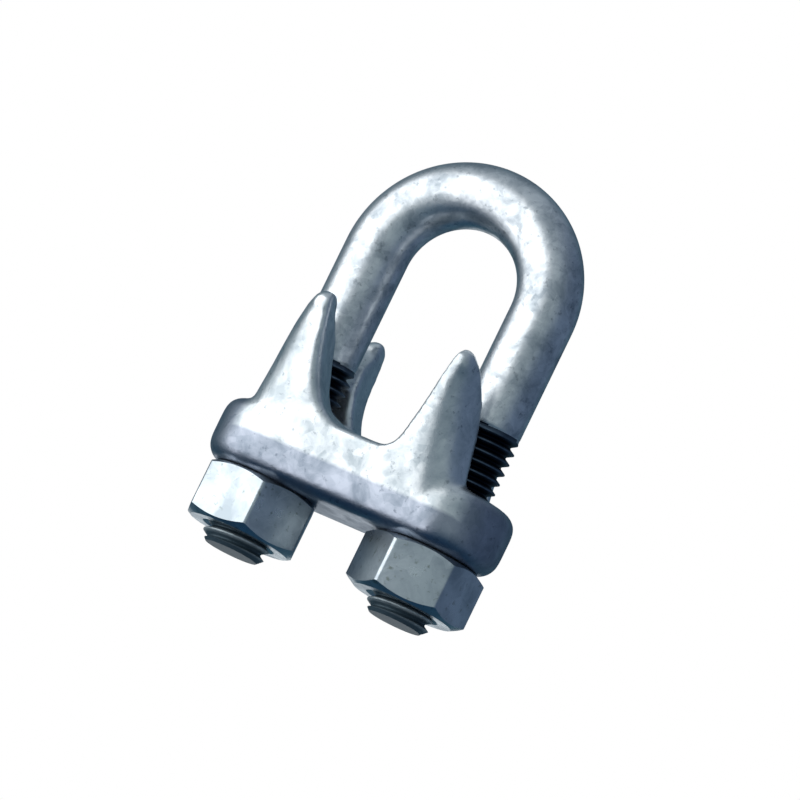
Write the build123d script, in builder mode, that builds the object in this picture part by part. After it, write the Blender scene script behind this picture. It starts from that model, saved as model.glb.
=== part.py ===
from build123d import *
from math import cos, radians, sin, tan
import os

# Forged wire rope clip for 10 mm rope: a U-bolt, a saddle with four horns, and two hex nuts.
# Millimetres. The origin is the middle of the rope seat's axis. +Z runs along the legs to the bow,
# +X from the left leg to the right one, and +Y along the rope.

# ---- U-bolt -------------------------------------------------------------------------------------
bar_diameter = 7.7
leg_spacing = 21.6
bow_height = 29.7            # saddle's underside to the bow's centre
thread_diameter = 8.0
thread_length = 24.6         # from the leg's end
leg_projection = 2.0         # leg's end beyond the nut, in the stored position
end_chamfer = 0.8

# ---- nuts ---------------------------------------------------------------------------------------
nut_flats = 13.0
nut_height = 6.8
nut_chamfer_slope = 30.0     # degrees
washer_face = 12.2           # round bearing face that the chamfer leaves
nut_countersink = 0.5
thread_clearance = 0.05      # nut's bore over the thread, on the radius
left_nut_turn = 50.0         # how each hexagon stands about its leg, in degrees
right_nut_turn = 17.0

# ---- saddle -------------------------------------------------------------------------------------
leg_clearance = 0.3          # saddle's leg holes over the thread, on the radius
ear_wall = 3.5               # metal around a leg hole
ear_thickness = 7.8
base_edge = 1.6              # rounding of the base's rim, underneath
ear_edge = 2.0               # rounding of the base's rim, on top
seat_radius = 5.1            # rope seat, for 10 mm rope
seat_floor = 8.4             # metal below the rope seat
seat_opening = 16.0          # slope of the valley's walls, from upright, in degrees
seat_shoulder = 10.0         # saddle's underside to the shoulders between seat and legs
horn_height = 20.1           # saddle's underside to the centre of a horn's tip
horn_tip_radius = 1.5        # ball at a horn's tip
horn_tip_width = 2.4         # horn's own width where it runs into the ball
horn_tip_inset = 1.9         # leg's axis to the tip's centre, towards the rope
horn_lean = 2.7              # base's edge to the tip's centre, outwards along the rope
horn_ridge_inset = 2.5       # leg's axis to where a horn's front turns to its slanting side, at its foot
horn_foot_outset = 3.6       # leg's axis to the outer edge of a horn's foot, at its front
horn_foot_back_outset = 2.2  # leg's axis to the outer edge of a horn's foot, beside the leg
flare_height = 4.0           # saddle's underside to where the faces start to lean out
horn_edge = 1.0              # rounding along the horns, at the foot
horn_tip_edge = 0.5          # rounding along the horns, at the tip

# ---- sizes that follow from the ones above ------------------------------------------------------
leg_x = leg_spacing / 2
bar_radius = bar_diameter / 2
thread_radius = thread_diameter / 2
saddle_bottom = -(seat_radius + seat_floor)
bow_centre = saddle_bottom + bow_height
nut_bottom = saddle_bottom - nut_height
leg_end = nut_bottom - leg_projection
thread_top = leg_end + thread_length
leg_hole_radius = thread_radius + leg_clearance
ear_radius = leg_hole_radius + ear_wall
flare_level = saddle_bottom + flare_height
tip_level = saddle_bottom + horn_height
horn_rise = tip_level - flare_level
horn_tip_x = leg_x - horn_tip_inset
horn_tip_y = ear_radius + horn_lean
horn_ridge_x = leg_x - horn_ridge_inset
horn_foot_x = leg_x + horn_foot_outset
horn_foot_back_x = leg_x + horn_foot_back_outset
wall_slope = radians(seat_opening)
wall_x = seat_radius * cos(wall_slope)       # where the seat's arc runs into the valley's wall
wall_z = -seat_radius * sin(wall_slope)
valley_top = tip_level + 2 * horn_tip_radius
valley_top_x = wall_x + (valley_top - wall_z) * tan(wall_slope)
nut_corner_radius = nut_flats / (2 * cos(radians(30)))
chamfer_reach = nut_corner_radius + nut_countersink
chamfer_drop = (chamfer_reach - washer_face / 2) * tan(radians(nut_chamfer_slope))

os.makedirs("parts", exist_ok=True)


def front_at(level):
    """How far the saddle's front and back faces stand from its middle at a level."""
    rise = (level - flare_level) / horn_rise
    return ear_radius + (horn_tip_y + horn_tip_width / 2 - ear_radius) * rise


def gap_at(level):
    """Half the gap between the front and the back horns at a level."""
    rise = (level - flare_level) / horn_rise
    return leg_hole_radius + (horn_tip_y - horn_tip_width / 2 - leg_hole_radius) * rise


# ---- U-bolt: one bar bent over a half circle, with both ends threaded ---------------------------
with BuildPart() as u_bolt:
    with BuildLine(Plane.XZ) as bar_path:
        left_leg = Line((-leg_x, thread_top), (-leg_x, bow_centre))
        bow = RadiusArc(left_leg @ 1, (leg_x, bow_centre), leg_x)
        Line(bow @ 1, (leg_x, thread_top))
    with BuildSketch(Plane(origin=(-leg_x, 0, thread_top), z_dir=(0, 0, 1))):
        Circle(bar_radius)
    sweep()
    with BuildSketch(Plane.XY.offset(leg_end)):
        with GridLocations(leg_spacing, 1, 2, 1):
            Circle(thread_radius)
    extrude(amount=thread_length)
    chamfer(u_bolt.edges().group_by(Axis.Z)[0], end_chamfer)


# ---- one horn: a tapering prong from the base's rim to a rounded tip -----------------------------
with BuildPart() as horn:
    with BuildSketch(Plane.XY.offset(flare_level)) as foot_section:
        with BuildLine():
            Polyline(
                (0, -gap_at(flare_level)),
                (0, -front_at(flare_level)),
                (horn_ridge_x, -front_at(flare_level)),
                (horn_foot_x, -front_at(flare_level) + horn_edge),
                (horn_foot_back_x, -gap_at(flare_level)),
                close=True,
            )
        make_face()
        fillet(foot_section.vertices().sort_by(Axis.X)[2:], horn_edge)
    with BuildSketch(Plane.XY.offset(tip_level)) as tip_section:
        with BuildLine():
            Polyline(
                (horn_tip_x - horn_tip_width / 2, -gap_at(tip_level)),
                (horn_tip_x - horn_tip_width / 2, -front_at(tip_level)),
                (horn_tip_x, -front_at(tip_level)),
                (horn_tip_x + horn_tip_width / 2, -horn_tip_y),
                (horn_tip_x + horn_tip_width / 2, -gap_at(tip_level)),
                close=True,
            )
        make_face()
        fillet(tip_section.vertices().sort_by(Axis.X)[2:], horn_tip_edge)
    loft(ruled=True)


# ---- front wall under the rope seat, which joins the two front horns ----------------------------
with BuildPart() as front_wall:
    with BuildSketch(Plane.YZ):
        with BuildLine():
            Polyline(
                (-gap_at(flare_level), flare_level),
                (-front_at(flare_level), flare_level),
                (-front_at(0), 0),
                (-gap_at(0), 0),
                close=True,
            )
        make_face()
    extrude(amount=seat_radius + horn_tip_radius, both=True)


# ---- saddle: a base with two ears, a rope seat across it, and a horn at each corner --------------
with BuildPart() as saddle:
    with BuildSketch(Plane.XY.offset(saddle_bottom)):
        SlotCenterToCenter(leg_spacing, 2 * ear_radius)
    extrude(amount=ear_thickness)
    fillet(saddle.edges().group_by(Axis.Z)[-1], ear_edge)
    fillet(saddle.edges().group_by(Axis.Z)[0], base_edge)
    with BuildSketch(Plane.XY.offset(saddle_bottom + base_edge)):
        Rectangle(leg_spacing, 2 * ear_radius)
    extrude(amount=seat_shoulder - base_edge)
    add(front_wall.part)
    add(front_wall.part.mirror(Plane.XZ))
    add(horn.part)
    add(horn.part.mirror(Plane.YZ))
    add(horn.part.mirror(Plane.XZ))
    add(horn.part.mirror(Plane.XZ).mirror(Plane.YZ))
    with Locations(
        (horn_tip_x, horn_tip_y, tip_level),
        (horn_tip_x, -horn_tip_y, tip_level),
        (-horn_tip_x, horn_tip_y, tip_level),
        (-horn_tip_x, -horn_tip_y, tip_level),
    ):
        Sphere(horn_tip_radius)
    with BuildSketch(Plane.XZ):
        with BuildLine():
            ThreePointArc((-wall_x, wall_z), (0, -seat_radius), (wall_x, wall_z))
            Polyline(
                (wall_x, wall_z),
                (valley_top_x, valley_top),
                (-valley_top_x, valley_top),
                (-wall_x, wall_z),
            )
        make_face()
    extrude(amount=2 * horn_tip_y, both=True, mode=Mode.SUBTRACT)
    with BuildSketch(Plane.XY.offset(saddle_bottom)):
        with GridLocations(leg_spacing, 1, 2, 1):
            Circle(leg_hole_radius)
    extrude(amount=horn_height + 2 * horn_tip_radius, mode=Mode.SUBTRACT)


def hex_nut(leg, turn):
    """A hex nut under the saddle, chamfered on both faces, with its bore countersunk.

    leg is the leg's place along X, and turn says how the hexagon stands about it, in degrees.
    """
    with BuildPart() as nut:
        with BuildSketch(Plane.XY.offset(nut_bottom)):
            with Locations((leg, 0)):
                RegularPolygon(nut_corner_radius, 6, rotation=turn)
        extrude(amount=nut_height)
        with BuildSketch(Plane(origin=(leg, 0, nut_bottom), x_dir=(1, 0, 0), z_dir=(0, -1, 0))):
            with BuildLine():
                Polyline(
                    (0, 0),
                    (washer_face / 2, 0),
                    (chamfer_reach, chamfer_drop),
                    (chamfer_reach, nut_height - chamfer_drop),
                    (washer_face / 2, nut_height),
                    (0, nut_height),
                    close=True,
                )
            make_face()
        revolve(axis=Axis((leg, 0, 0), (0, 0, 1)), mode=Mode.INTERSECT)
        with Locations((leg, 0, nut_bottom + nut_height / 2)):
            Hole(thread_radius + thread_clearance, depth=nut_height)
        chamfer(nut.edges().filter_by(GeomType.CIRCLE).sort_by(SortBy.RADIUS)[:2], nut_countersink)
    return nut


nut_left = hex_nut(-leg_x, left_nut_turn)
nut_right = hex_nut(leg_x, right_nut_turn)


# ---- one STEP file for each piece ---------------------------------------------------------------
u_bolt.part.label = "u_bolt"
export_step(u_bolt.part, "parts/u_bolt.step")
saddle.part.label = "saddle"
export_step(saddle.part, "parts/saddle.step")
nut_left.part.label = "nut_left"
export_step(nut_left.part, "parts/nut_left.step")
nut_right.part.label = "nut_right"
export_step(nut_right.part, "parts/nut_right.step")
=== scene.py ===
from math import cos, pi, radians, sin, tan

import bmesh
import bpy
from mathutils import Matrix, Vector


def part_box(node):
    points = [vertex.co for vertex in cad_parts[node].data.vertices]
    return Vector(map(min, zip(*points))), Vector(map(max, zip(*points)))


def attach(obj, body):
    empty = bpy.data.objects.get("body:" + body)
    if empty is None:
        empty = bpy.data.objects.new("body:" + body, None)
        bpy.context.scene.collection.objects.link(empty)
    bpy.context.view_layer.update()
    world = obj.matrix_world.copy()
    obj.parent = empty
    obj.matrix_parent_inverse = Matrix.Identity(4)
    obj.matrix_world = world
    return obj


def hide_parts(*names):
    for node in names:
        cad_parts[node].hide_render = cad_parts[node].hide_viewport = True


# Forged wire rope clip: a U-bolt, a saddle with four horns, and two hex nuts.
# Pieces are modelled in millimetres and turned to metres when they are finished.
# The origin is the middle of the rope seat's axis, +Z runs to the bow and +Y along the rope.
MM = 0.001
MERGE = 0.0005              # points this near each other are merged, in millimetres
CLOSE = 0.001               # places this near each other count as the same, in millimetres

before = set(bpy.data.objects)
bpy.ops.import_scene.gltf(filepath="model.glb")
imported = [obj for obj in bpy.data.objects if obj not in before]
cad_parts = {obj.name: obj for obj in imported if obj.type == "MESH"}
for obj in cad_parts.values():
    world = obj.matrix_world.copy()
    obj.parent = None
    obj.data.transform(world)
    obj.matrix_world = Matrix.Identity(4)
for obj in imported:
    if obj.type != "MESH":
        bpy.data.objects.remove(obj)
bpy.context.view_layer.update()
bpy.ops.object.select_all(action="DESELECT")

# ---- places and sizes that the frame gives, in millimetres --------------------------------------
bolt_low, bolt_high = [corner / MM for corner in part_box("u_bolt")]
saddle_low, saddle_high = [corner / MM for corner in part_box("saddle")]
nut_low, nut_high = [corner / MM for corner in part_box("nut_left")]

# ---- U-bolt -------------------------------------------------------------------------------------
BAR_RADIUS = 3.85
THREAD_RADIUS = bolt_high.y
LEG_X = bolt_high.x - THREAD_RADIUS
LEG_END = bolt_low.z
BOW_CENTRE = bolt_high.z - LEG_X - BAR_RADIUS
THREAD_LENGTH = 25.0
THREAD_TOP = LEG_END + THREAD_LENGTH
PITCH = 1.25
THREAD_DEPTH = 0.6134 * PITCH
CREST_FLAT = PITCH / 8
THREAD_EDGE = 0.09          # rounding that the zinc leaves at crest and root
THREAD_STEPS = 72           # divisions in one turn
RUNOUT = 1.3                # length over which the thread fades into the bar
RUNOUT_STEP = 0.03          # faded thread's surface below the bar's, so that the two join cleanly
END_CHAMFER = 0.8
OIL_AND_SHADE_EDGE = 0.4              # the thread's colour, with dark oil and painted shade in its grooves, stops this far below the thread's top
BAR_SIDES = 96
BOW_STEPS = 72

# ---- nuts ---------------------------------------------------------------------------------------
NUT_FLATS = 13.0
WASHER_FACE = 12.2
NUT_CHAMFER_SLOPE = radians(30)
NUT_COUNTERSINK = 0.5
NUT_EDGE = 0.28             # broken edge of the hexagon
NUT_SPARE = 2               # the hexagon is this much taller than the nut until its ends are cut
CONE_POINT = 0.01           # radius of a countersinking cone's point
BORE_CLEARANCE = 0.06       # nut's thread over the leg's, on the radius
LEFT_NUT_TURN = radians(50)
RIGHT_NUT_TURN = radians(17)

# ---- saddle -------------------------------------------------------------------------------------
SADDLE_BOTTOM = saddle_low.z
EAR_RADIUS = saddle_high.x - LEG_X
EAR_THICKNESS = 7.8
BASE_EDGE = 2.4             # rounding of the base's rim, underneath
EAR_EDGE = 2.0              # rounding of the base's rim, on top
LEG_HOLE_RADIUS = 4.3
SHOULDER = SADDLE_BOTTOM + 10.0
SEAT_RADIUS = 5.1
FLARE_LEVEL = SADDLE_BOTTOM + 4.0
TIP_RADIUS = 1.75           # horn's tip, before smoothing draws it in
TIP = Vector((8.9, saddle_high.y - 1.5, saddle_high.z - 1.5))
TIP_INSET = 0.2             # the horn's last sections lie this far inside the tip's ball
RIDGE_X = 8.3               # where a horn's flat front starts to turn to its side, at its foot
HORN_FOOT_X = 14.7          # horn's outer side at its foot
HORN_TURN_STEPS = 6         # divisions in the quarter round of a horn's side
VALLEY = (                  # rope's valley, X and Z: its floor touches the seat's round, its sides are clear
    (-9.1, saddle_high.z + 2),
    (-8.2, 4.5),
    (-7.5, 1.0),
    (-6.6, -1.6),
    (-5.3, -3.8),
    (-3.2, -SEAT_RADIUS),
    (3.4, -SEAT_RADIUS),
    (4.5, -4.1),
    (5.7, 0.0),
    (8.5, saddle_high.z + 2),
)
HORN_OFFSET = -1.0          # the horns' upper parts are moved up to this far along X, to the left
FORGED_GRAIN = 0.28         # size of the smallest facet on the forging
BASE_ROUNDING = 0.08        # share of the lips' rounding that the base gets
HORN_ROUNDING = 0.14        # share of the lips' rounding that the horns' other edges get
LIP_REACH = 1.0             # a lip is fully rounded within this distance
LIP_FADE = 2.4              # and its rounding fades over this length
TIP_FADE = (6, 4)           # rounding lessens from this far below the tip's middle, over this rise
TIP_KEEP = 0.85             # share of a lip's rounding that the tips lose


def select_only(piece):
    """Makes one object the only selected one, and the active one."""
    bpy.ops.object.select_all(action="DESELECT")
    piece.select_set(True)
    bpy.context.view_layer.objects.active = piece


def start_edit(piece):
    """Opens a piece in edit mode with everything selected."""
    select_only(piece)
    bpy.ops.object.mode_set(mode="EDIT")
    bpy.ops.mesh.select_mode(type="VERT")
    bpy.ops.mesh.select_all(action="SELECT")


def end_edit():
    """Closes edit mode."""
    bpy.ops.object.mode_set(mode="OBJECT")


def settle():
    """The piece added last, with its place, turn and size made part of its mesh."""
    piece = bpy.context.object
    bpy.ops.object.transform_apply(location=True, rotation=True, scale=True)
    return piece


def copy_of(piece):
    """A copy of a piece with a mesh of its own, selected."""
    copy = piece.copy()
    copy.data = piece.data.copy()
    bpy.context.scene.collection.objects.link(copy)
    select_only(copy)
    return copy


def pick(piece, kind, test):
    """In edit mode, selects the verts, edges or faces whose middle passes the test."""
    bpy.ops.mesh.select_all(action="DESELECT")
    bpy.ops.mesh.select_mode(type={"verts": "VERT", "edges": "EDGE", "faces": "FACE"}[kind])
    mesh = bmesh.from_edit_mesh(piece.data)
    for part in getattr(mesh, kind):
        if kind == "verts":
            part.select = test(part.co)
        elif kind == "edges":
            part.select = test((part.verts[0].co + part.verts[1].co) / 2)
        else:
            part.select = test(part.calc_center_median())
    mesh.select_flush_mode()
    bmesh.update_edit_mesh(piece.data)


def tidy_faces(piece):
    """Merges doubles and turns every face outwards."""
    start_edit(piece)
    bpy.ops.mesh.remove_doubles(threshold=MERGE)
    bpy.ops.mesh.normals_make_consistent(inside=False)
    end_edit()


def apply_modifier(piece, kind, settings):
    """Adds a modifier with its settings and applies it."""
    select_only(piece)
    modifier = piece.modifiers.new(kind.lower(), kind)
    for name, value in settings.items():
        setattr(modifier, name, value)
    bpy.ops.object.modifier_apply(modifier=modifier.name)


def combine(piece, other, operation):
    """Joins, cuts or intersects a piece with another, which is used up."""
    apply_modifier(piece, "BOOLEAN", {"object": other, "operation": operation, "solver": "EXACT"})
    bpy.data.objects.remove(other)


def join(pieces):
    """Puts several pieces into the first one."""
    bpy.ops.object.select_all(action="DESELECT")
    for piece in pieces:
        piece.select_set(True)
    bpy.context.view_layer.objects.active = pieces[0]
    bpy.ops.object.join()
    return pieces[0]


def outline(points):
    """A chain of edges through the points, drawn by extruding one vertex."""
    bpy.ops.mesh.primitive_plane_add(size=1)
    piece = bpy.context.object
    start_edit(piece)
    bpy.ops.mesh.merge(type="CENTER")
    bpy.ops.transform.translate(value=points[0])
    for here, there in zip(points, points[1:]):
        bpy.ops.mesh.extrude_region_move(TRANSFORM_OT_translate={"value": Vector(there) - Vector(here)})
    end_edit()
    return piece


def prism(points, reach):
    """A closed outline extruded both ways by a vector."""
    piece = outline([Vector(point) - Vector(reach) for point in points])
    start_edit(piece)
    bpy.ops.mesh.edge_face_add()
    bpy.ops.mesh.extrude_region_move(TRANSFORM_OT_translate={"value": 2 * Vector(reach)})
    end_edit()
    tidy_faces(piece)
    return piece


def finish_piece(piece, name, body, node, angle):
    """Turns a piece to metres, shades it smooth, and puts it in place of its CAD node."""
    select_only(piece)
    bpy.ops.object.transform_apply(location=True, rotation=True, scale=True)
    piece.scale = (MM, MM, MM)
    bpy.ops.object.transform_apply(location=True, rotation=True, scale=True)
    bpy.ops.object.shade_smooth_by_angle(angle=angle)
    piece.name = name
    piece.data.name = name
    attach(piece, body)
    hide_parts(node)


# ---- thread -------------------------------------------------------------------------------------
def thread_form(gain):
    """One pitch of the thread's profile, from root to root; gain moves it out from the axis."""
    crest = THREAD_RADIUS + gain
    root = crest - THREAD_DEPTH
    flank = THREAD_DEPTH * tan(radians(30))
    root_half = (PITCH - CREST_FLAT - 2 * flank) / 2
    middle = PITCH / 2
    half = [
        (root, 0),
        (root, root_half - THREAD_EDGE),
        (root + THREAD_EDGE, root_half + THREAD_EDGE / 2),
        (crest - THREAD_EDGE, middle - CREST_FLAT / 2 - THREAD_EDGE / 2),
        (crest - THREAD_EDGE / 4, middle - CREST_FLAT / 2),
        (crest, middle),
    ]
    back = [(radius, PITCH - level) for radius, level in reversed(half[:-1])]
    return half + back


def thread(low, high, gain):
    """A right-hand threaded rod about the Z axis, closed at both ends."""
    turns = int((high - low) / PITCH) + 4
    piece = outline([(radius, 0, low - 2 * PITCH + level) for radius, level in thread_form(gain)])
    apply_modifier(
        piece,
        "SCREW",
        {
            "axis": "Z",
            "angle": 2 * pi,
            "screw_offset": PITCH,
            "steps": THREAD_STEPS,
            "render_steps": THREAD_STEPS,
            "iterations": turns,
            "use_merge_vertices": True,
            "merge_threshold": MERGE,
        },
    )
    start_edit(piece)
    bpy.ops.mesh.remove_doubles(threshold=MERGE)
    bpy.ops.mesh.bisect(plane_co=(0, 0, low), plane_no=(0, 0, 1), use_fill=True, clear_inner=True)
    bpy.ops.mesh.select_all(action="SELECT")
    bpy.ops.mesh.bisect(plane_co=(0, 0, high), plane_no=(0, 0, 1), use_fill=True, clear_outer=True)
    end_edit()
    tidy_faces(piece)
    return piece


def fade_out(piece):
    """Fades the top of a leg's thread into the bar's round."""
    group = piece.vertex_groups.new(name="runout")
    for vertex in piece.data.vertices:
        rise = (vertex.co.z - THREAD_TOP + RUNOUT) / RUNOUT
        weight = min(max(rise, 0), 1)
        group.add([vertex.index], weight * weight * (3 - 2 * weight), "REPLACE")
    apply_modifier(
        piece,
        "CAST",
        {
            "cast_type": "CYLINDER",
            "factor": 1,
            "use_radius_as_size": False,
            "size": BAR_RADIUS - RUNOUT_STEP,
            "use_z": False,
            "vertex_group": group.name,
        },
    )
    piece.vertex_groups.clear()


def threaded_end():
    """A leg's threaded end about the Z axis, with a chamfer at its tip."""
    piece = thread(LEG_END, THREAD_TOP + 1, 0)
    fade_out(piece)
    reach = THREAD_TOP + 2 - LEG_END
    tip_radius = THREAD_RADIUS - END_CHAMFER
    bpy.ops.mesh.primitive_cone_add(
        vertices=BAR_SIDES,
        radius1=tip_radius,
        radius2=tip_radius + reach,
        depth=reach,
        location=(0, 0, LEG_END + reach / 2),
    )
    combine(piece, settle(), "INTERSECT")
    return piece


def copy_to_leg(piece, leg, turn):
    """A copy of a piece made about the Z axis, turned and moved onto a leg."""
    copy = copy_of(piece)
    copy.rotation_euler = (0, 0, turn)
    copy.location = (leg, 0, 0)
    bpy.ops.object.transform_apply(location=True, rotation=True)
    return copy


# ---- U-bolt -------------------------------------------------------------------------------------
def bent_bar():
    """The plain bar: up the left leg, round the bow and down the right leg."""
    bpy.ops.mesh.primitive_circle_add(
        vertices=BAR_SIDES, radius=BAR_RADIUS, fill_type="NOTHING", location=(-LEG_X, 0, THREAD_TOP)
    )
    piece = settle()
    start_edit(piece)
    rise = BOW_CENTRE - THREAD_TOP
    bpy.ops.mesh.extrude_region_move(TRANSFORM_OT_translate={"value": (0, 0, rise)})
    bpy.ops.mesh.spin(steps=BOW_STEPS, angle=-pi, center=(0, 0, BOW_CENTRE), axis=(0, 1, 0))
    bpy.ops.mesh.extrude_region_move(TRANSFORM_OT_translate={"value": (0, 0, -rise)})
    bpy.ops.mesh.select_all(action="SELECT")
    bpy.ops.mesh.region_to_loop()
    bpy.ops.mesh.edge_face_add()
    end_edit()
    tidy_faces(piece)
    return piece


def make_u_bolt(end_thread):
    """The bent bar with a threaded end on each leg."""
    piece = bent_bar()
    combine(piece, copy_to_leg(end_thread, -LEG_X, LEFT_NUT_TURN), "UNION")
    combine(piece, copy_to_leg(end_thread, LEG_X, RIGHT_NUT_TURN), "UNION")
    tidy_faces(piece)
    return piece


# ---- nuts ---------------------------------------------------------------------------------------
def chamfer_blank(reach, drop, low, high):
    """A round blank whose two ends narrow to the nut's bearing faces."""
    bpy.ops.mesh.primitive_cylinder_add(
        vertices=BAR_SIDES, radius=reach, depth=high - low - 2 * drop, location=(0, 0, (low + high) / 2)
    )
    piece = settle()
    shrink = WASHER_FACE / 2 / reach
    start_edit(piece)
    for level, step in ((high - drop, drop), (low + drop, -drop)):
        pick(piece, "faces", lambda place, level=level: abs(place.z - level) < CLOSE)
        bpy.ops.mesh.extrude_region_move(TRANSFORM_OT_translate={"value": (0, 0, step)})
        bpy.ops.transform.resize(value=(shrink, shrink, 1))
    end_edit()
    return piece


def countersink(level, outward):
    """A cone that opens the bore's mouth at a nut's face; outward is 1 on top and -1 underneath."""
    mouth = THREAD_RADIUS + NUT_COUNTERSINK
    below, above = (CONE_POINT, 2 * mouth) if outward > 0 else (2 * mouth, CONE_POINT)
    bpy.ops.mesh.primitive_cone_add(
        vertices=BAR_SIDES, radius1=below, radius2=above, depth=2 * mouth, location=(0, 0, level)
    )
    return settle()


def make_nut():
    """One hex nut about the Z axis, with two of its corners on the X axis."""
    low, high = nut_low.z, nut_high.z
    middle = (low + high) / 2
    corner = NUT_FLATS / 2 / cos(radians(30))
    reach = corner + NUT_COUNTERSINK
    drop = (reach - WASHER_FACE / 2) * tan(NUT_CHAMFER_SLOPE)
    bpy.ops.mesh.primitive_cylinder_add(
        vertices=6,
        radius=corner,
        depth=high - low + NUT_SPARE,
        location=(0, 0, middle),
        rotation=(0, 0, radians(30)),
    )
    piece = settle()
    start_edit(piece)
    pick(piece, "edges", lambda place: abs(place.z - middle) < CLOSE)
    bpy.ops.mesh.bevel(offset=NUT_EDGE, segments=3, affect="EDGES")
    end_edit()
    combine(piece, chamfer_blank(reach, drop, low, high), "INTERSECT")
    combine(piece, thread(low - PITCH, high + PITCH, BORE_CLEARANCE), "DIFFERENCE")
    combine(piece, countersink(high, 1), "DIFFERENCE")
    combine(piece, countersink(low, -1), "DIFFERENCE")
    return piece


# ---- saddle -------------------------------------------------------------------------------------
def front_at(level):
    """How far the front face stands from the middle at a level."""
    rise = (level - FLARE_LEVEL) / (TIP.z - FLARE_LEVEL)
    return EAR_RADIUS + (TIP.y + TIP_RADIUS - EAR_RADIUS) * rise


def base_plate():
    """The oblong base with its two round ears and rounded rim."""
    bpy.ops.mesh.primitive_cylinder_add(
        vertices=BAR_SIDES,
        radius=EAR_RADIUS,
        depth=EAR_THICKNESS,
        location=(0, 0, SADDLE_BOTTOM + EAR_THICKNESS / 2),
    )
    piece = settle()
    start_edit(piece)
    pick(piece, "verts", lambda place: place.x > CLOSE)
    bpy.ops.transform.translate(value=(LEG_X, 0, 0))
    pick(piece, "verts", lambda place: place.x < -CLOSE)
    bpy.ops.transform.translate(value=(-LEG_X, 0, 0))
    pick(piece, "edges", lambda place: place.z > SADDLE_BOTTOM + EAR_THICKNESS - CLOSE)
    bpy.ops.mesh.bevel(offset=EAR_EDGE, segments=6, affect="EDGES")
    pick(piece, "edges", lambda place: place.z < SADDLE_BOTTOM + CLOSE)
    bpy.ops.mesh.bevel(offset=BASE_EDGE, segments=6, affect="EDGES")
    end_edit()
    return piece


def horn_section(level, inner_x, ridge_x, outer_x, inner_y, outer_y):
    """A horn's section: flat in front up to the ridge, then a quarter round to the leg's side."""
    arc = [
        (
            ridge_x + (outer_x - ridge_x) * sin(pi / 2 * step / HORN_TURN_STEPS),
            -inner_y - (outer_y - inner_y) * cos(pi / 2 * step / HORN_TURN_STEPS),
            level,
        )
        for step in range(HORN_TURN_STEPS + 1)
    ]
    piece = outline([(inner_x, -inner_y, level), (inner_x, -outer_y, level), *arc])
    start_edit(piece)
    bpy.ops.mesh.edge_face_add()
    end_edit()
    return piece


def make_horn(offset):
    """The front right horn, from the base's rim to its tip; offset moves its upper part along X."""
    half = TIP_RADIUS - TIP_INSET
    top = TIP.x + 0.6 * offset
    # Each section is a level, then inner, ridge and outer X, then inner Y: the foot at the base's rim, three
    # up the horn's side, one through the middle of the tip's ball, and a smaller one inside the ball's top.
    # In the lower ones inner X is 0: the left and right horns meet there, and the valley's cutter parts them.
    sections = [
        (FLARE_LEVEL, 0, RIDGE_X, HORN_FOOT_X + 0.5 * offset, LEG_HOLE_RADIUS),
        (-4.5, 0, 8.0 + 0.4 * offset, 13.8 + 0.8 * offset, 4.4),
        (0.5, 0, 8.0 + 0.6 * offset, 13.0 + offset, 4.6),
        (4.0, 3.0, 8.3 + 0.6 * offset, 12.2 + offset, 5.9),
        (TIP.z, top - half, top, top + half + 0.8, TIP.y - half),
        (TIP.z + 0.9, top - 0.9, top, top + 1.5, TIP.y - 0.9),
    ]
    spans = []
    for lower, upper in zip(sections, sections[1:]):
        fronts = [min(front_at(section[0]), TIP.y + half) for section in (lower, upper)]
        span = join([horn_section(*lower, fronts[0]), horn_section(*upper, fronts[1])])
        start_edit(span)
        bpy.ops.mesh.bridge_edge_loops()
        end_edit()
        start_edit(span)
        bpy.ops.mesh.fill_holes(sides=0)
        end_edit()
        tidy_faces(span)
        spans.append(span)
    middle = Vector((top, TIP.y, TIP.z))
    bpy.ops.mesh.primitive_uv_sphere_add(segments=32, ring_count=16, radius=TIP_RADIUS, location=middle)
    return join([*spans, settle()])


def mirrored(piece, x_sign, y_sign):
    """A copy of a piece in another quarter of the clip; a sign of -1 mirrors it along that axis."""
    copy = copy_of(piece)
    copy.scale = (x_sign, y_sign, 1)
    bpy.ops.object.transform_apply(scale=True)
    tidy_faces(copy)
    return copy


def shoulder_block():
    """The block across the base that carries the rope seat."""
    height = SHOULDER - SADDLE_BOTTOM - BASE_EDGE
    bpy.ops.mesh.primitive_cube_add(size=1, location=(0, 0, SHOULDER - height / 2))
    piece = bpy.context.object
    piece.scale = (2 * LEG_X, 2 * EAR_RADIUS, height)
    return settle()


def seat_cutter():
    """A bar in the shape of the rope's valley, longer than the saddle."""
    return prism([(x, 0, level) for x, level in VALLEY], (0, 2 * saddle_high.y, 0))


def leg_hole(leg):
    """A drill for the hole that a leg runs through, taller than the saddle."""
    bpy.ops.mesh.primitive_cylinder_add(
        vertices=BAR_SIDES, radius=LEG_HOLE_RADIUS, depth=60, location=(leg, 0, 0)
    )
    return settle()


def from_valley(place):
    """How far a point is from the valley's surface."""
    here = Vector((place.x, place.z))
    distances = []
    for start, stop in zip(VALLEY, VALLEY[1:]):
        run = Vector(stop) - Vector(start)
        share = min(max((here - Vector(start)).dot(run) / run.dot(run), 0), 1)
        distances.append((here - Vector(start) - run * share).length)
    return min(distances)


def lip_weight(place):
    """How much the forging is rounded at a point: most at the valley's lips, least at the base."""
    if place.z < FLARE_LEVEL + 0.6:
        return BASE_ROUNDING
    from_front = abs(abs(place.y) - front_at(place.z))
    away = (from_valley(place) ** 2 + from_front ** 2) ** 0.5
    lip = min(max(1 - (away - LIP_REACH) / LIP_FADE, 0), 1)
    tip = min(max((place.z - TIP.z + TIP_FADE[0]) / TIP_FADE[1], 0), 1)
    return HORN_ROUNDING + (1 - HORN_ROUNDING) * lip * (1 - TIP_KEEP * tip)


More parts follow.
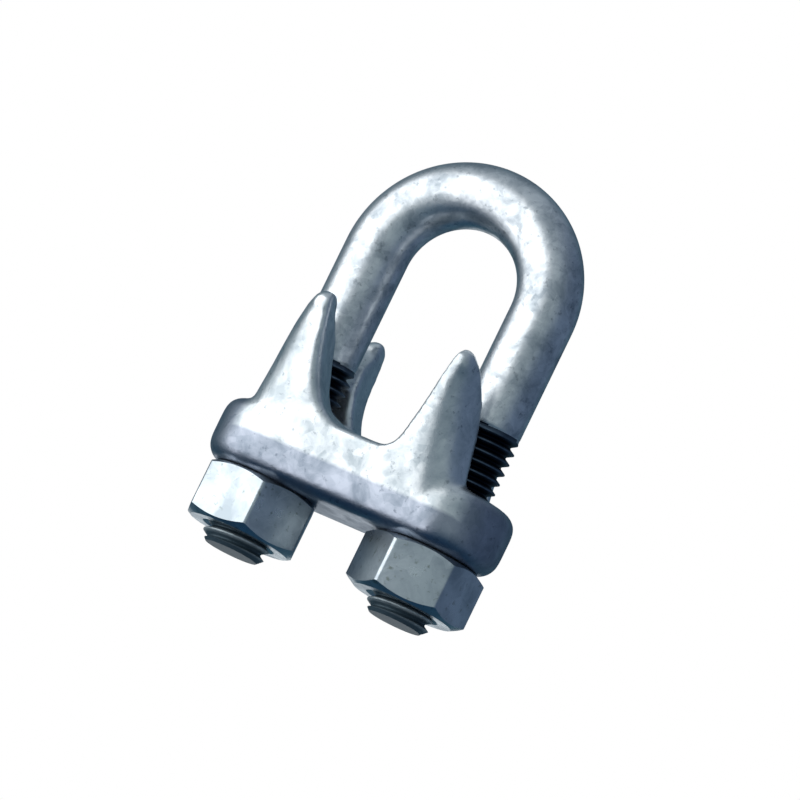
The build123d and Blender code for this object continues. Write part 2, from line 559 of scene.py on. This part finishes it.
def make_saddle():
    """The forging: its blocks fused, cut by the valley and the leg holes, then softened by the forge."""
    right_horn, left_horn = make_horn(HORN_OFFSET), make_horn(-HORN_OFFSET)
    pieces = [base_plate(), shoulder_block(), right_horn, mirrored(right_horn, 1, -1)]
    pieces += [mirrored(left_horn, -1, 1), mirrored(left_horn, -1, -1)]
    bpy.data.objects.remove(left_horn)
    piece = join(pieces)
    forge = {"mode": "VOXEL", "voxel_size": FORGED_GRAIN, "use_smooth_shade": True}
    apply_modifier(piece, "REMESH", forge)
    combine(piece, seat_cutter(), "DIFFERENCE")
    combine(piece, leg_hole(-LEG_X), "DIFFERENCE")
    combine(piece, leg_hole(LEG_X), "DIFFERENCE")
    apply_modifier(piece, "REMESH", forge)
    group = piece.vertex_groups.new(name="forged")
    for vertex in piece.data.vertices:
        group.add([vertex.index], lip_weight(vertex.co), "REPLACE")
    apply_modifier(piece, "SMOOTH", {"factor": 0.5, "iterations": 75, "vertex_group": group.name})
    piece.vertex_groups.clear()
    apply_modifier(piece, "SMOOTH", {"factor": 0.5, "iterations": 12})
    return piece


# ---- materials ----------------------------------------------------------------------------------
def srgb(code):
    """A linear colour from an sRGB hex value."""
    channels = [int(code[start:start + 2], 16) / 255 for start in (1, 3, 5)]
    linear = [c / 12.92 if c <= 0.04045 else ((c + 0.055) / 1.055) ** 2.4 for c in channels]
    return (*linear, 1)


def add_node(tree, kind, settings, links):
    """Adds a node with its settings, its inputs' values and its links."""
    node = tree.nodes.new(kind)
    for key, value in settings.items():
        if isinstance(key, str) and hasattr(node, key):
            setattr(node, key, value)
        else:
            node.inputs[key].default_value = value
    for key, source in links.items():
        tree.links.new(source, node.inputs[key])
    return node


def new_material(name):
    """An empty material, with the object's own coordinates to work from."""
    material = bpy.data.materials.new(name)
    material.use_nodes = True
    tree = material.node_tree
    tree.nodes.clear()
    place = add_node(tree, "ShaderNodeTexCoord", {}, {}).outputs["Object"]
    return material, tree, place


def rim_painted_shade(tree, place, colour, shade_colour):
    """Paints shade: multiplies a colour by a grey shade colour below the horns' feet and on the two ears,
    which catch less light.
    """
    apart = add_node(tree, "ShaderNodeSeparateXYZ", {}, {"Vector": place})
    side = add_node(tree, "ShaderNodeMath", {"operation": "ABSOLUTE"}, {0: apart.outputs["X"]})
    rim_top = [(FLARE_LEVEL - 0.2) * MM, (FLARE_LEVEL + 0.3) * MM]
    below = add_node(
        tree,
        "ShaderNodeMapRange",
        {"From Min": rim_top[0], "From Max": rim_top[1], "To Min": 1.0, "To Max": 0.0},
        {"Value": apart.outputs["Z"]},
    )
    ear_start = [(HORN_FOOT_X - 0.8) * MM, (HORN_FOOT_X + 0.6) * MM]
    outside = add_node(
        tree,
        "ShaderNodeMapRange",
        {"From Min": ear_start[0], "From Max": ear_start[1], "To Min": 0.0, "To Max": 1.0},
        {"Value": side.outputs[0]},
    )
    share = add_node(
        tree,
        "ShaderNodeMath",
        {"operation": "MAXIMUM"},
        {0: below.outputs["Result"], 1: outside.outputs["Result"]},
    )
    rim_shaded = add_node(
        tree,
        "ShaderNodeMix",
        {"data_type": "RGBA", "blend_type": "MULTIPLY", 7: srgb(shade_colour)},
        {0: share.outputs[0], 6: colour},
    )
    return rim_shaded.outputs[2]


def zinc(name, light, dark, speck, spangle_mm, rough, blotch, rim=None):
    """Hot-dip or plated zinc: crystals of slightly different grey, dull blotches and fine pits.

    That gives the eye a cloudy, cool metal whose shine comes and goes over a millimetre or two.
    A rim shade paints shade on the base's band and its two ears, greying them.
    """
    material, tree, place = new_material(name)
    crystal = add_node(
        tree, "ShaderNodeTexVoronoi", {"Scale": 1 / (spangle_mm * MM), "Randomness": 1.0}, {"Vector": place}
    )
    cloud = add_node(
        tree,
        "ShaderNodeTexNoise",
        {"Scale": 1 / (3.2 * spangle_mm * MM), "Detail": 5.0, "Roughness": 0.62, "Distortion": 0.4},
        {"Vector": place},
    )
    pits = add_node(
        tree,
        "ShaderNodeTexNoise",
        {"Scale": 1 / (0.8 * MM), "Detail": 3.0, "Roughness": 0.6},
        {"Vector": place},
    )
    crystal_grey = add_node(tree, "ShaderNodeSeparateColor", {}, {"Color": crystal.outputs["Color"]})
    crystal_part = add_node(
        tree, "ShaderNodeMath", {"operation": "MULTIPLY", 1: 0.28}, {0: crystal_grey.outputs["Red"]}
    )
    cloud_part = add_node(
        tree,
        "ShaderNodeMapRange",
        {"From Min": 0.36, "From Max": 0.62, "To Min": 0.0, "To Max": 0.72},
        {"Value": cloud.outputs["Fac"]},
    )
    shade = add_node(
        tree,
        "ShaderNodeMath",
        {"operation": "ADD", "use_clamp": True},
        {0: crystal_part.outputs[0], 1: cloud_part.outputs["Result"]},
    )
    tone = add_node(
        tree,
        "ShaderNodeMix",
        {"data_type": "RGBA", 6: srgb(dark), 7: srgb(light)},
        {0: shade.outputs[0]},
    )
    pit_mask = add_node(
        tree,
        "ShaderNodeMapRange",
        {"From Min": 0.60, "From Max": 0.72, "To Min": 0.0, "To Max": blotch},
        {"Value": pits.outputs["Fac"]},
    )
    colour = add_node(
        tree,
        "ShaderNodeMix",
        {"data_type": "RGBA", 7: srgb(speck)},
        {0: pit_mask.outputs["Result"], 6: tone.outputs[2]},
    )
    surface = colour.outputs[2]
    # Painted shade on the base's band and the two ears.
    if rim:
        surface = rim_painted_shade(tree, place, surface, rim)
    gloss = add_node(
        tree,
        "ShaderNodeMapRange",
        {"From Min": 0.0, "From Max": 1.0, "To Min": rough[1], "To Max": rough[0]},
        {"Value": shade.outputs[0]},
    )
    height = add_node(
        tree,
        "ShaderNodeMath",
        {"operation": "MULTIPLY_ADD", 1: 0.5},
        {0: pits.outputs["Fac"], 2: cloud.outputs["Fac"]},
    )
    bump = add_node(
        tree, "ShaderNodeBump", {"Strength": 0.35, "Distance": 0.12 * MM}, {"Height": height.outputs[0]}
    )
    shader = add_node(
        tree,
        "ShaderNodeBsdfPrincipled",
        {"Metallic": 1.0},
        {"Base Color": surface, "Roughness": gloss.outputs["Result"], "Normal": bump.outputs["Normal"]},
    )
    add_node(tree, "ShaderNodeOutputMaterial", {}, {"Surface": shader.outputs["BSDF"]})
    return material


def rolled_thread(name):
    """Rolled thread: dark oil and zinc dross in the grooves, with painted shade darkening them further, worn
    brighter along the crests.

    That gives the eye fine dark rings with a thin bright line on each one. Below the nuts, towards the legs'
    ends, the colour turns paler and less metallic, which makes the ends paler.
    """
    material, tree, place = new_material(name)
    apart = add_node(tree, "ShaderNodeSeparateXYZ", {}, {"Vector": place})
    side = add_node(tree, "ShaderNodeMath", {"operation": "ABSOLUTE"}, {0: apart.outputs["X"]})
    offset = add_node(
        tree, "ShaderNodeMath", {"operation": "SUBTRACT", 1: LEG_X * MM}, {0: side.outputs[0]}
    )
    flat = add_node(tree, "ShaderNodeCombineXYZ", {}, {"X": offset.outputs[0], "Y": apart.outputs["Y"]})
    radius = add_node(tree, "ShaderNodeVectorMath", {"operation": "LENGTH"}, {0: flat.outputs[0]})
    grime = add_node(
        tree,
        "ShaderNodeTexNoise",
        {"Scale": 1 / (1.1 * MM), "Detail": 4.0, "Roughness": 0.6},
        {"Vector": place},
    )
    # Paler and less metallic below the nuts.
    below_nuts = add_node(
        tree,
        "ShaderNodeMapRange",
        {"From Min": nut_high.z * MM, "From Max": nut_low.z * MM, "To Min": 0.0, "To Max": 1.0},
        {"Value": apart.outputs["Z"]},
    ).outputs["Result"]
    worn_from, worn_to = (THREAD_RADIUS - 0.45) * MM, THREAD_RADIUS * MM
    crest = add_node(
        tree,
        "ShaderNodeMapRange",
        {"From Min": worn_from, "From Max": worn_to, "To Min": 0.0, "To Max": 1.0},
        {"Value": radius.outputs["Value"]},
    )
    worn = add_node(
        tree,
        "ShaderNodeMath",
        {"operation": "MULTIPLY"},
        {0: crest.outputs["Result"], 1: grime.outputs["Fac"]},
    )
    # Painted shade: the grooves' near-black colour stands in for shade in the grooves as well as dark oil.
    groove_oil_and_shade_tone = add_node(
        tree, "ShaderNodeMix", {"data_type": "RGBA", 6: srgb("#0d1828"), 7: srgb("#41525c")}, {0: below_nuts}
    )
    crest_tone = add_node(
        tree, "ShaderNodeMix", {"data_type": "RGBA", 6: srgb("#7c8ea0"), 7: srgb("#d8e1e4")}, {0: below_nuts}
    )
    colour = add_node(
        tree,
        "ShaderNodeMix",
        {"data_type": "RGBA"},
        {0: worn.outputs[0], 6: groove_oil_and_shade_tone.outputs[2], 7: crest_tone.outputs[2]},
    )
    metal = add_node(
        tree,
        "ShaderNodeMapRange",
        {"From Min": 0.0, "From Max": 1.0, "To Min": 1.0, "To Max": 0.45},
        {"Value": below_nuts},
    )
    shader = add_node(
        tree,
        "ShaderNodeBsdfPrincipled",
        {"Roughness": 0.42},
        {"Base Color": colour.outputs[2], "Metallic": metal.outputs["Result"]},
    )
    add_node(tree, "ShaderNodeOutputMaterial", {}, {"Surface": shader.outputs["BSDF"]})
    return material


# ---- build --------------------------------------------------------------------------------------
end_thread = threaded_end()
u_bolt = make_u_bolt(end_thread)
bpy.data.objects.remove(end_thread)
nut = make_nut()
left_nut = copy_to_leg(nut, -LEG_X, LEFT_NUT_TURN)
right_nut = copy_to_leg(nut, LEG_X, RIGHT_NUT_TURN)
bpy.data.objects.remove(nut)
saddle = make_saddle()

bar_zinc = zinc(
    "hot_dip_galvanised_bar",
    light="#f0f2f4",
    dark="#a4adb5",
    speck="#66707a",
    spangle_mm=0.9,
    rough=(0.30, 0.46),
    blotch=0.5,
)
forged_zinc = zinc(
    "hot_dip_galvanised_forging_painted_rim_shade",
    light="#f1f3f4",
    dark="#bcc5ca",
    speck="#66727b",
    spangle_mm=1.0,
    rough=(0.30, 0.46),
    blotch=0.5,
    # painted shade on the base's band and the two ears
    rim="#b9bdc9",
)
nut_zinc = zinc(
    "zinc_plated_nut",
    light="#dbe1e5",
    dark="#a3adb5",
    speck="#6f7868",
    spangle_mm=1.6,
    rough=(0.26, 0.36),
    blotch=0.6,
)
# Thread colour with painted shade in its grooves.
thread_zinc = rolled_thread("rolled_thread_oil_and_painted_shade")

u_bolt.data.materials.clear()
u_bolt.data.materials.append(bar_zinc)
u_bolt.data.materials.append(thread_zinc)
for face in u_bolt.data.polygons:
    face.material_index = 1 if face.center.z < THREAD_TOP - OIL_AND_SHADE_EDGE else 0
for piece, material in ((saddle, forged_zinc), (left_nut, nut_zinc), (right_nut, nut_zinc)):
    piece.data.materials.clear()
    piece.data.materials.append(material)

finish_piece(u_bolt, "u_bolt_bar", "u_bolt", "u_bolt", radians(40))
finish_piece(saddle, "saddle_forging", "saddle", "saddle", radians(80))
finish_piece(left_nut, "left_hex_nut", "nut_left", "nut_left", radians(30))
finish_piece(right_nut, "right_hex_nut", "nut_right", "nut_right", radians(30))

# ---- floor --------------------------------------------------------------------------------------
FLOOR_LEVEL = -0.25         # metres; lower than the camera, which looks slightly upwards
FLOOR_WIDTH = 3             # metres
bpy.ops.mesh.primitive_plane_add(size=FLOOR_WIDTH, location=(0, 0, FLOOR_LEVEL))
floor = settle()
floor.name = "floor"
floor_paint, floor_tree = new_material("pale_studio_floor")[:2]
floor_shader = add_node(
    floor_tree, "ShaderNodeBsdfPrincipled", {"Base Color": srgb("#f4f4f2"), "Roughness": 0.8}, {}
)
add_node(floor_tree, "ShaderNodeOutputMaterial", {}, {"Surface": floor_shader.outputs["BSDF"]})
floor.data.materials.append(floor_paint)
floor.visible_glossy = False


# ---- light --------------------------------------------------------------------------------------
def softbox(name, azimuth, elevation, distance, width, height, radiance):
    """A soft light aimed at the clip; azimuth 0 is +X and 90 is +Y, in degrees, and lengths are metres."""
    lamp = bpy.data.lights.new(name, "AREA")
    lamp.shape = "RECTANGLE"
    lamp.size = width
    lamp.size_y = height
    lamp.energy = radiance * pi * width * height
    holder = bpy.data.objects.new(name, lamp)
    bpy.context.scene.collection.objects.link(holder)
    turn, lift = radians(azimuth), radians(elevation)
    away = Vector((cos(turn) * cos(lift), sin(turn) * cos(lift), sin(lift)))
    holder.location = away * distance
    holder.rotation_euler = away.to_track_quat("Z", "Y").to_euler()


softbox("left_wall", azimuth=225, elevation=-2, distance=1.0, width=1.65, height=2.2, radiance=1.6)
softbox("back_low", azimuth=112, elevation=-14, distance=1.0, width=0.4, height=0.3, radiance=0.8)

world = bpy.data.worlds.new("studio")
bpy.context.scene.world = world
world.use_nodes = True
sky = world.node_tree
sky.nodes.clear()
direction = add_node(sky, "ShaderNodeTexCoord", {}, {}).outputs["Generated"]
upward = add_node(sky, "ShaderNodeSeparateXYZ", {}, {"Vector": direction})
rise_share = add_node(
    sky, "ShaderNodeMapRange", {"From Min": -1.0, "From Max": 1.0}, {"Value": upward.outputs["Z"]}
)
wash = add_node(sky, "ShaderNodeValToRGB", {}, {"Fac": rise_share.outputs["Result"]})
stops = wash.color_ramp.elements
stops[0].position, stops[0].color = 0.0, srgb("#143450")
stops[1].position, stops[1].color = 1.0, srgb("#9aa6b0")
for position, colour in ((0.14, "#2a4a62"), (0.34, "#72838e"), (0.5, "#93a1a6")):
    stops.new(position).color = srgb(colour)
room_colour = wash.outputs["Color"]
for heading, colour in (((0.87, 0.35, 0.3), "#4c5e78"), ((-0.5, 0.86, 0.1), "#2f5263")):
    facing = add_node(
        sky, "ShaderNodeVectorMath", {"operation": "DOT_PRODUCT", 1: heading}, {0: direction}
    )
    dark_part = add_node(
        sky,
        "ShaderNodeMapRange",
        {"From Min": 0.3, "From Max": 0.8, "To Min": 0.0, "To Max": 0.9},
        {"Value": facing.outputs["Value"]},
    )
    room_colour = add_node(
        sky,
        "ShaderNodeMix",
        {"data_type": "RGBA", 7: srgb(colour)},
        {0: dark_part.outputs["Result"], 6: room_colour},
    ).outputs[2]
seen = add_node(sky, "ShaderNodeLightPath", {}, {})
backdrop = add_node(
    sky,
    "ShaderNodeMix",
    {"data_type": "RGBA", 7: (1.0, 1.0, 1.0, 1.0)},
    {0: seen.outputs["Is Camera Ray"], 6: room_colour},
)
glow = add_node(sky, "ShaderNodeBackground", {"Strength": 1.0}, {"Color": backdrop.outputs[2]})
add_node(sky, "ShaderNodeOutputWorld", {}, {"Surface": glow.outputs["Background"]})
bpy.context.scene.view_settings.view_transform = "Standard"

# ---- camera -------------------------------------------------------------------------------------
VIEW_AZIMUTH = radians(20.6)
VIEW_LIFT = radians(8.0)     # the camera looks up at the clip by this much
VIEW_ROLL = radians(26.0)
VIEW_DISTANCE = 1200.0
VIEW_WIDTH = 91.0            # width of the view at the clip
AIM_RIGHT = 6.17             # aim's offset from the middle of the saddle's underside
AIM_UP = 13.47
SENSOR_WIDTH = 36

level_right = Vector((cos(VIEW_AZIMUTH), sin(VIEW_AZIMUTH), 0))
level_up = Vector((sin(VIEW_AZIMUTH) * sin(VIEW_LIFT), -cos(VIEW_AZIMUTH) * sin(VIEW_LIFT), cos(VIEW_LIFT)))
forward = Vector((-sin(VIEW_AZIMUTH) * cos(VIEW_LIFT), cos(VIEW_AZIMUTH) * cos(VIEW_LIFT), sin(VIEW_LIFT)))
right = level_right * cos(VIEW_ROLL) + level_up * sin(VIEW_ROLL)
up = level_up * cos(VIEW_ROLL) - level_right * sin(VIEW_ROLL)
aim = Vector((0, 0, SADDLE_BOTTOM)) + right * AIM_RIGHT + up * AIM_UP
lens = bpy.data.cameras.new("camera")
lens.sensor_width = SENSOR_WIDTH
lens.lens = SENSOR_WIDTH * VIEW_DISTANCE / VIEW_WIDTH
lens.clip_start = 0.05
camera = bpy.data.objects.new("camera", lens)
bpy.context.scene.collection.objects.link(camera)
turned = Matrix((right, up, -forward)).transposed().to_4x4()
camera.matrix_world = Matrix.Translation((aim - forward * VIEW_DISTANCE) * MM) @ turned
bpy.context.scene.camera = camera
